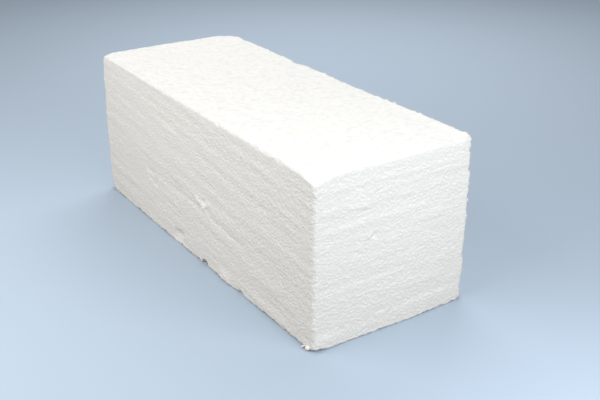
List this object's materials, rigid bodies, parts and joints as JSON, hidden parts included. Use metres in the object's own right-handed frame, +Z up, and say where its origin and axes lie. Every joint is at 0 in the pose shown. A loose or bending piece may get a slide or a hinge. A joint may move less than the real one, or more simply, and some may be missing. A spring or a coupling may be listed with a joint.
{
  "type": "foam block",
  "caption": "Oblong block of white expanded polystyrene bead foam, hand-sawn on its sides with ragged worn edges, for packing, propping or craft work.",
  "frame": {"origin": "middle of the base", "axes": "+X along the length towards the near end, -Y towards the front side, +Z up from the base to the top skin"},
  "size_m": [0.25, 0.1011, 0.0955],
  "materials": {
    "foam": "matte white bead foam, with a smoother skin on the top and base"
  },
  "bodies": {
    "root": {"foam_block": "foam"}
  },
  "joints": []
}
